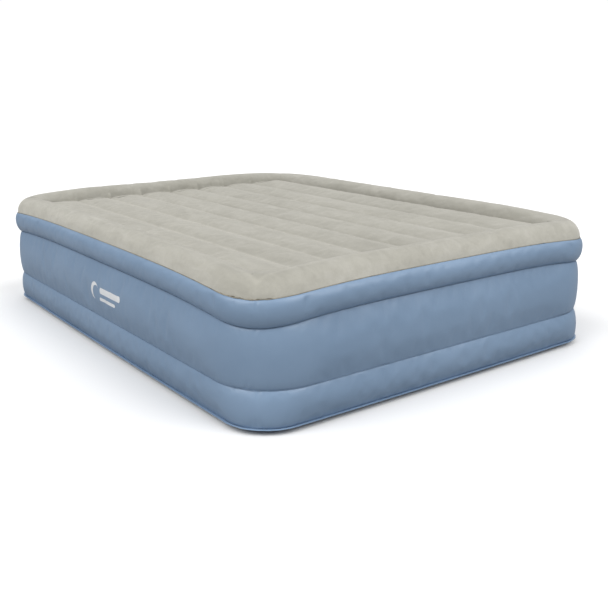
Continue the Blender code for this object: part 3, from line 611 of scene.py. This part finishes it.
top = make_mesh("flocked_top", verts, quads, flock)
pins = np.zeros(len(verts))
pins[:M] = 1.0
pins[base : base + M] = 1.0
k = (verts[rim_count:, 0] + EDGE_X) / PITCH
from_weld = np.abs(k - np.round(k)) * PITCH
on_weld = (from_weld < STEP * 0.5) & (np.round(k) > 0) & (np.round(k) < CHANNELS) & (
    np.abs(verts[rim_count:, 1]) < EDGE_Y - 0.045
)
pins[rim_count:][on_weld] = 1.0
jitter = hash_noise(verts, (9, 5, 9), 3) * 0.0008 + hash_noise(verts, (34, 34, 34), 5) * 0.00022
verts[:, 2] += np.where(pins < 0.5, jitter, 0)
set_coords(top.data, verts)
inflate(top, pins, pressure=0.8, slack=0.003, cap=0.004, frames=11, stiffness=40, bending=2.0)

def painted_sheen_and_shade(obj):
    """Painted light and shade on the flock, stored per point: paler (painted sheen) on the rim's outer flank, darker
    (painted shade) on the rim's inner wall, a painted sheen and thin highlight line beside each weld with painted shade
    past it, a painted highlight along the rim crest, plus a little random tone.
    """
    mesh = obj.data
    p = coords(mesh)
    nrm = np.empty(len(mesh.vertices) * 3, np.float32)
    mesh.vertices.foreach_get("normal", nrm)
    nrm = nrm.reshape(-1, 3).astype(float)
    steep = 1 - np.clip(np.abs(nrm[:, 2]), 0, 1)
    reach = np.minimum(TOP[0] - np.abs(p[:, 0]), TOP[1] - np.abs(p[:, 1]))
    outward = nrm[:, 0] * p[:, 0] / TOP[0] + nrm[:, 1] * p[:, 1] / TOP[1]
    rim = np.clip((WELD_IN - reach) / 0.02, 0, 1)
    sheen_shade_tone = np.ones(len(p))
    # Painted light: the steep outward rim flank is made paler and the inner rim wall darker.
    sheen_shade_tone += rim * np.where(outward > 0, 0.62 * steep**0.8 * np.clip(outward * 3, 0, 1), -0.10 * steep)
    k = (p[:, 0] + EDGE_X) / PITCH
    d = (k - np.round(k)) * PITCH
    welded = (reach > WELD_IN + 0.001) & (np.round(k) > 0) & (np.round(k) < CHANNELS)
    # Painted sheen and a thin painted highlight line on the -X side of each channel weld, painted shade on its +X side.
    sheen_shade_tone += np.where(welded & (d <= 0), 0.07 * np.exp(d / 0.035) + 0.10 * np.exp(-((d / 0.008) ** 2)), 0)
    sheen_shade_tone += np.where(welded & (d > 0), -0.085 * np.exp(-d / 0.045), 0)
    # Painted highlight along the rim crest, broken up by noise.
    crest = np.exp(-(((reach - CREST_IN - 0.010) / 0.006) ** 2))
    sheen_shade_tone += 0.13 * crest * np.clip(0.7 + 0.9 * hash_noise(p, (16, 16, 1), 79), 0, 1.4)
    # Random tone variation.
    sheen_shade_tone += 0.05 * hash_noise(p, (3.1, 2.2, 3), 77) + 0.03 * hash_noise(p, (11, 8, 9), 78)
    layer = mesh.attributes.new("painted_sheen_and_shade", "FLOAT", "POINT")
    layer.data.foreach_set("value", sheen_shade_tone.astype(np.float32))


painted_sheen_and_shade(top)
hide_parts("top_sheet")
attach(top, "mattress")


# ------------------------------------------------------------------ the inflated side bands
def pump_flatness(p):
    away = np.clip(np.abs(p[:, 0] - PUMP.x) - 0.125, 0, None) / 0.12
    f = np.clip(1 - away, 0, 1)
    return np.where(p[:, 1] > 0.9, f * f * (3 - 2 * f), 0)


CRINKLE = (0.013, 0.120, 0.0046, 0.0006, 0.0040, 0.020)


def band(name, low, high, swell, cap, slack, replaced, seed, flat_at_pump=False, bending=2.0, crinkle=CRINKLE):
    a, na, ua = loop(low)
    b, nb, ub = loop(high)
    n = na + nb
    n /= np.linalg.norm(n, axis=1)[:, None]
    rows = max(6, round(float(np.linalg.norm(b - a, axis=1).mean() + 0.02) / STEP))
    corner = np.clip((ua - 0.75) / 0.25, 0, 1)
    bulge = swell[0] + (swell[1] - swell[0]) * corner
    a = a + np.array([0, 0, 0.0009])
    b = b - np.array([0, 0, 0.0009])
    height = float(np.linalg.norm(b - a, axis=1).mean())
    low_made = creases(a, ua, seed + 5, *crinkle)
    high_made = creases(b, ub, seed + 6, *crinkle)
    points, drawn = [], []
    for i in range(rows + 1):
        v = 0.5 - 0.5 * math.cos(math.pi * i / rows)
        v = 0.75 * v + 0.25 * i / rows
        drawn.append(crease_depth(low_made, v * height) + crease_depth(high_made, (1 - v) * height))
        out = bulge * (max(4 * v * (1 - v), 0)) ** 0.60
        p = a + (b - a) * v + n * out[:, None]
        if flat_at_pump:
            f = pump_flatness(p) * min(1.0, min(v, 1 - v) / 0.09)
            p[:, 1] += (PUMP.y + 0.0004 - p[:, 1]) * f
        points.append(p)
    verts = np.concatenate(points)
    obj = make_mesh(name, verts, grid_quads(rows + 1, M), pvc)
    pins = np.zeros(len(verts))
    pins[:M] = 1
    pins[-M:] = 1
    if flat_at_pump:
        near = (verts[:, 1] > 0.9) & (np.abs(verts[:, 0] - PUMP.x) < 0.125) & (
            np.abs(verts[:, 2] - PUMP.z) < 0.080
        )
        pins[near] = 1
    rough = hash_noise(verts, (4, 4, 6), seed) * 0.0009 + hash_noise(verts, (24, 24, 24), seed + 1) * 0.00008
    normal = np.tile(n, (rows + 1, 1))
    verts = verts + normal * np.where(pins < 0.5, rough, 0)[:, None]
    set_coords(obj.data, verts)
    inflate(obj, pins, pressure=2.0, slack=slack, cap=cap, frames=10, stiffness=40, bending=bending)
    gentle = np.ones(M * (rows + 1))
    if flat_at_pump:
        gentle[pump_flatness(verts) > 0] = 0
    set_coords(obj.data, coords(obj.data) - normal * (np.concatenate(drawn) * gentle)[:, None])
    if flat_at_pump:
        bm = bmesh.new()
        bm.from_mesh(obj.data)
        inside_window = [
            f
            for f in bm.faces
            if all(
                v.co.y > 0.9 and abs(v.co.x - PUMP.x) < 0.097 and abs(v.co.z - PUMP.z) < 0.059 for v in f.verts
            )
        ]
        bmesh.ops.delete(bm, geom=inside_window, context="FACES")
        bm.to_mesh(obj.data)
        bm.free()
    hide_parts(replaced)
    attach(obj, "mattress")
    return obj


upper = band("upper_band_skin", UPPER, TOP, (0.0179, 0.0125), 0.005, 0.004, "upper_side_band", 11)
middle = band(
    "middle_band_skin", LOWER, UPPER, (0.0150, 0.0085), 0.005, 0.003, "middle_side_band", 21, True
)
lower = band("lower_band_skin", BOTTOM, LOWER, (0.0122, 0.0095), 0.005, 0.004, "lower_side_band", 31)


# ------------------------------------------------------------------ base sheet
def base_sheet():
    rows = []
    for inset in (0.0, 0.006, 0.014, 0.024, 0.036, 0.050, 0.064, 0.30, 0.60):
        p, n, u = loop(BOTTOM, inset)
        s = max(1 - inset / 0.055, 0.0)
        p[:, 2] = 0.0003 + (BOTTOM[3] - 0.0018) * s**1.6
        rows.append(p)
    return rows


rows = base_sheet()
verts = np.concatenate(rows)
quads = grid_quads(len(rows), M)[:, ::-1]
obj = make_mesh("base_skin", verts, quads, pvc)
bm = bmesh.new()
bm.from_mesh(obj.data)
edges = [e for e in bm.edges if e.is_boundary and all(v.index >= (len(rows) - 1) * M for v in e.verts)]
bmesh.ops.contextual_create(bm, geom=edges)
bm.to_mesh(obj.data)
bm.free()
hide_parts("bottom_sheet")
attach(obj, "mattress")


# ------------------------------------------------------------------ welded seams
def seam_strip(name, seam, profile, mat, replaced, wave=0.0, out_wave=0.0, seed=0, corner_only=True, taper=False):
    """A welded strip round the bed. profile is a closed outline of (outward, up) points in metres."""
    p, n, u = loop(seam)
    corner = np.clip((u - 0.80) / 0.16, 0, 1)
    corner = corner * corner * (3 - 2 * corner)
    k = 0.12 + 0.88 * corner if corner_only else np.ones(len(u))
    w1 = hash_noise(p, (60, 60, 1), seed) + 0.6 * hash_noise(p, (130, 130, 1), seed + 1)
    w2 = hash_noise(p, (45, 45, 1), seed + 2) + 0.5 * hash_noise(p, (110, 110, 1), seed + 3)
    m = len(profile)
    verts = []
    for out, up_ in profile:
        edge = np.clip(out / max(q[0] for q in profile), 0, 1) if out > 0 else 0.0
        narrow = 0.35 + 0.65 * corner if taper else 1.0
        q = p + n * (out * (narrow if out > 0 else 1.0) + out_wave * w2 * k * edge)[:, None]
        q[:, 2] += up_ + wave * w1 * k * edge
        verts.append(q)
    verts = np.concatenate(verts)
    j = np.arange(m)[:, None]
    i = np.arange(M)[None, :]
    quads = np.stack(
        np.broadcast_arrays(
            j * M + i, j * M + (i + 1) % M, ((j + 1) % m) * M + (i + 1) % M, ((j + 1) % m) * M + i
        ),
        -1,
    ).reshape(-1, 4)
    obj = make_mesh(name, verts, quads, mat)
    bm = bmesh.new()
    bm.from_mesh(obj.data)
    bmesh.ops.recalc_face_normals(bm, faces=bm.faces)
    bm.to_mesh(obj.data)
    bm.free()
    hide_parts(replaced)
    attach(obj, "mattress")
    return obj


def lip_profile(out, half, inn=0.006):
    return [(-inn, -half), (out * 0.55, -half), (out * 0.92, -half * 0.7), (out, 0.0), (out * 0.92, half * 0.7), (out * 0.55, half), (-inn, half)]


# Top edge strip: the tan is the flock's PVC backing; the dark blue-grey patches in the ramp are painted shade, standing
# in for the shadow in the crevice under the flock's edge.
edge_nodes = Nodes("flock_edge")
edge_backing_and_shade = edge_nodes.noise(edge_nodes.place(), 9, 4, 0.7)
edge_fine = edge_nodes.noise(edge_nodes.place(), 260, 3, 0.6)
edge_mat = edge_nodes.set(
    Base_Color=edge_nodes.ramp(
        edge_backing_and_shade, [(0.30, srgb(84, 90, 98)), (0.42, srgb(146, 140, 126)), (0.62, srgb(168, 160, 142))]
    ),
    Roughness=edge_nodes.ramp(edge_fine, [(0.3, (0.75,) * 3), (0.7, (0.9,) * 3)]),
    Normal=edge_nodes.bump(edge_fine, 0.3, 0.0004),
)
# Painted shade: a darker copy of the blue PVC for the waist welds, standing in for the shade in the V-groove where the
# bands meet.
waist_seam_painted_shade = pvc_material("seam_pvc_painted_shade", 0.80)
seam_strip("top_edge_weld", TOP, lip_profile(0.0020, 0.0008), edge_mat, "top_seam", 0.0016, 0.0018, 41, taper=True)
seam_strip("upper_waist_weld", UPPER, lip_profile(0.0012, 0.0006), waist_seam_painted_shade, "upper_waist_seam", 0.0012, 0.0010, 51)
seam_strip("lower_waist_weld", LOWER, lip_profile(0.0016, 0.0006), waist_seam_painted_shade, "lower_waist_seam", 0.0012, 0.0012, 61)
seam_strip("bottom_weld", BOTTOM, lip_profile(0.0105, 0.0009), pvc, "bottom_seam", 0.0009, 0.0016, 71)

# ------------------------------------------------------------------ a plain printed mark on the side
def surface_tree(obj):
    bm = bmesh.new()
    bm.from_mesh(obj.data)
    tree = BVHTree.FromBMesh(bm)
    bm.free()
    return tree


def crescent(size, n=40, across=5):
    """Rows of points over a crescent moon, across from its outer arc to its inner one."""
    rows = []
    for j in range(across + 1):
        f = j / across
        row = []
        for i in range(n + 1):
            t = -1 + 2 * i / n
            a = math.radians(90 + 128 * t)
            outer = (math.cos(a) * size, math.sin(a) * size)
            b = math.radians(90 + 101 * t)
            inner = (math.cos(b) * size * 0.80, math.sin(b) * size * 0.80 - size * 0.34)
            tip = abs(t) ** 6
            inner = (inner[0] * (1 - tip) + outer[0] * tip, inner[1] * (1 - tip) + outer[1] * tip)
            row.append((outer[0] * (1 - f) + inner[0] * f, outer[1] * (1 - f) + inner[1] * f))
        rows.append(row)
    return rows


def bar(cx, cy, half_w, half_h, n=36, across=4):
    """Rows of points over a bar with round ends."""
    rows = []
    for j in range(across + 1):
        row = []
        for i in range(n + 1):
            x = -half_w + 2 * half_w * (0.5 - 0.5 * math.cos(math.pi * i / n))
            over = max(abs(x) - (half_w - half_h), 0.0)
            h = math.sqrt(max(half_h**2 - over**2, 0.0))
            row.append((cx + x, cy - h + 2 * h * j / across))
        rows.append(row)
    return rows


def printed(name, patterns, centre, side, tree, mat, lift=0.0004):
    """Lays flat patterns on the surface met along -side from outside, as a thin layer of print."""
    verts, quads = [], []
    along = Vector((-side.y, side.x, 0))
    for rows in patterns:
        start = len(verts)
        m = len(rows[0])
        for row in rows:
            for a, b in row:
                origin = Vector(centre) + along * a + Vector((0, 0, b)) + side * 0.2
                hit, nrm, _, _ = tree.ray_cast(origin, -side)
                if hit is None:
                    raise RuntimeError(f"{name}: nothing under the print at {tuple(round(c, 4) for c in origin)}")
                if nrm.dot(side) < 0:
                    nrm = -nrm
                verts.append(tuple(hit + nrm * lift))
        quads += [tuple(start + q for q in face) for face in grid_quads(len(rows), m, wrap=False).tolist()]
    obj = make_mesh(name, verts, quads, mat)
    bm = bmesh.new()
    bm.from_mesh(obj.data)
    bmesh.ops.remove_doubles(bm, verts=bm.verts, dist=0.00005)
    bmesh.ops.dissolve_degenerate(bm, edges=bm.edges, dist=0.00005)
    for f in bm.faces:
        f.normal_update()
        if f.normal.dot(side) < 0:
            f.normal_flip()
    bm.to_mesh(obj.data)
    bm.free()
    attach(obj, "mattress")
    return obj


def turned(rows, degrees, dx, dy):
    c, s = math.cos(math.radians(degrees)), math.sin(math.radians(degrees))
    return [[(x * c - y * s + dx, x * s + y * c + dy) for x, y in row] for row in rows]


ink = plain_material("white_print", srgb(236, 238, 240), 0.55, grain=900, strength=0.08, vary=0.03)
mid_tree = surface_tree(middle)
mark = [
    turned(crescent(0.031), 62, -0.090, 0.002),
    bar(0.040, 0.010, 0.086, 0.0110),
    bar(0.018, -0.021, 0.064, 0.0060),
]
printed("side_mark", mark, (-0.76, -0.085, 0.225), Vector((-1, 0, 0)), mid_tree, ink)

# ------------------------------------------------------------------ the carried-over CAD nodes
LOOKS = {
    "inner_pvc": plain_material("inner_pvc", srgb(150, 165, 180), 0.5, grain=250),
    "pump_shell": plain_material("pump_shell", srgb(58, 64, 72), 0.48, grain=900, strength=0.25),
    "pump_trim": plain_material("pump_trim", srgb(84, 92, 104), 0.42, grain=900, strength=0.22),
    "seal_rubber": plain_material("seal_rubber", srgb(34, 34, 36), 0.75, grain=500),
    "steel": plain_material("steel", (0.60, 0.60, 0.62), 0.28, 1.0, grain=700),
    "copper": plain_material("copper", (0.75, 0.38, 0.20), 0.32, 1.0, grain=700),
    "carbon": plain_material("carbon", srgb(40, 40, 42), 0.6, grain=500),
    "lead_brown": plain_material("lead_brown", srgb(110, 62, 34), 0.45),
    "lead_blue": plain_material("lead_blue", srgb(48, 88, 160), 0.45),
    "blue_pvc": pvc,
    "flock": flock,
}
slot_of = {s["node"]: s["material_slot"] for s in frame["record"]["subparts"]}
for name, obj in frame["nodes"].items():
    mat = LOOKS[slot_of[name]]
    obj.data.materials.clear()
    obj.data.materials.append(mat)

# ------------------------------------------------------------------ the pump face, with moulded edges
def moulded(node, name, mat, body, width, segments=2, angle=30):
    """The node's own shape again, as a new piece, with its edges rounded as moulded plastic has them."""
    mesh = frame["nodes"][node].data.copy()
    mesh.name = name
    obj = bpy.data.objects.new(name, mesh)
    scene.collection.objects.link(obj)
    mesh.materials.clear()
    mesh.materials.append(mat)
    bm = bmesh.new()
    bm.from_mesh(mesh)
    bmesh.ops.remove_doubles(bm, verts=bm.verts, dist=0.00002)
    bmesh.ops.join_triangles(
        bm,
        faces=bm.faces,
        angle_face_threshold=math.radians(0.5),
        angle_shape_threshold=math.radians(180),
    )
    bm.to_mesh(mesh)
    bm.free()
    bevel = obj.modifiers.new("Moulded edges", "BEVEL")
    bevel.limit_method = "ANGLE"
    bevel.angle_limit = math.radians(angle)
    bevel.width = width
    bevel.segments = segments
    bevel.use_clamp_overlap = True
    bevel.harden_normals = False
    bevel.miter_outer = "MITER_ARC"
    mesh.shade_smooth()
    mesh.set_sharp_from_angle(angle=math.radians(40))
    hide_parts(node)
    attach(obj, body)
    return obj


def pump_at(x, y, z):
    return PUMP + Vector((x, y, z)) * MM


shell, trim = LOOKS["pump_shell"], LOOKS["pump_trim"]
plate = moulded("face_plate", "pump_face", shell, "mattress", 0.0009, 3)
door = moulded("cord_door", "cord_lid", trim, "door", 0.0006, 3)
dial = moulded("mode_dial", "selector_knob", trim, "dial", 0.0009, 3)
grille = moulded("air_grille", "intake_grille", trim, "mattress", 0.0004)
for k in range(1, 5):
    moulded(f"face_screw_{k}", f"face_screw_head_{k}", LOOKS["steel"], "mattress", 0.00035)

OUT = Vector((0, 1, 0))


def wedge(radius, start, stop, thin, thick, n=28, across=3):
    """A curved arrow tail that grows from thin to thick round the knob."""
    rows = []
    for j in range(across + 1):
        row = []
        for i in range(n + 1):
            t = i / n
            a = math.radians(start + (stop - start) * t)
            w = thin + (thick - thin) * t
            r = radius + w * (j / across - 0.5)
            row.append((math.cos(a) * r, math.sin(a) * r))
        rows.append(row)
    return rows


plate_tree = surface_tree(plate)
marks = [
    wedge(0.0375, 72, 28, 0.0008, 0.0042),
    wedge(0.0375, 108, 152, 0.0008, 0.0042),
    [[(x, y + 0.0385) for x, y in row] for row in bar(0, 0, 0.0016, 0.00155, 12, 3)],
]
printed("knob_marks", marks, tuple(pump_at(50, 0, 0)), OUT, plate_tree, ink, 0.00012)
dial_tree = surface_tree(dial)
pointer = printed("knob_pointer", [bar(0, 0.0185, 0.0011, 0.0011, 10, 3), turned(bar(0, 0, 0.0052, 0.0009, 20, 3), 90, 0, 0.0185)][1:], tuple(pump_at(50, 0, 0)), OUT, dial_tree, ink, 0.00012)
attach(pointer, "dial")
# ------------------------------------------------------------------ floor, light and world
floor_size = 60
floor = make_mesh(
    "floor",
    [(-floor_size, -floor_size, 0), (floor_size, -floor_size, 0), (floor_size, floor_size, 0), (-floor_size, floor_size, 0)],
    [(0, 1, 2, 3)],
)
floor.location.z = CAD_BOX[0][2] - 0.0006
stage = Nodes("pale_floor")
path = stage.new("ShaderNodeLightPath").outputs["Is Camera Ray"]
stage.set(
    Base_Color=stage.mix(path, (0.32, 0.32, 0.32), (0.93, 0.93, 0.93)),
    Roughness=0.95,
    Specular_IOR_Level=0.0,
)
floor.data.materials.append(stage.mat)

world = bpy.data.worlds.new("studio")
world.use_nodes = True
wt = world.node_tree
background = wt.nodes["Background"]
wpath = wt.nodes.new("ShaderNodeLightPath")
wcoord = wt.nodes.new("ShaderNodeTexCoord")
wsep = wt.nodes.new("ShaderNodeSeparateXYZ")
wramp = wt.nodes.new("ShaderNodeValToRGB")
wmix = wt.nodes.new("ShaderNodeMix")
wmix.data_type = "RGBA"
wt.links.new(wcoord.outputs["Generated"], wsep.inputs[0])
wt.links.new(wsep.outputs["Z"], wramp.inputs["Fac"])
wramp.color_ramp.elements[0].position = 0.05
wramp.color_ramp.elements[0].color = (0.18, 0.18, 0.19, 1)
wramp.color_ramp.elements[1].position = 0.95
wramp.color_ramp.elements[1].color = (0.56, 0.56, 0.56, 1)
wt.links.new(wpath.outputs["Is Camera Ray"], wmix.inputs[0])
wt.links.new(wramp.outputs["Color"], wmix.inputs[6])
wmix.inputs[7].default_value = (1.02, 1.02, 1.02, 1)
wt.links.new(wmix.outputs[2], background.inputs["Color"])
background.inputs["Strength"].default_value = 1.0
scene.world = world
scene.view_settings.view_transform = "Standard"
scene.view_settings.look = "None"


def sun(name, come_from, strength, angle, colour=(1, 1, 1)):
    data = bpy.data.lights.new(name, "SUN")
    data.energy = strength
    data.angle = angle
    data.color = colour
    light = bpy.data.objects.new(name, data)
    light.rotation_euler = Vector(come_from).to_track_quat("Z", "Y").to_euler()
    scene.collection.objects.link(light)
    return light


sun("key_left", (-1.0, 0.05, 1.0), 1.70, 0.8)
sun("key_right", (0.45, -1.0, 1.05), 1.62, 0.8)
sun("overhead", (0.8, 0.9, 1.3), 0.60, 1.2)
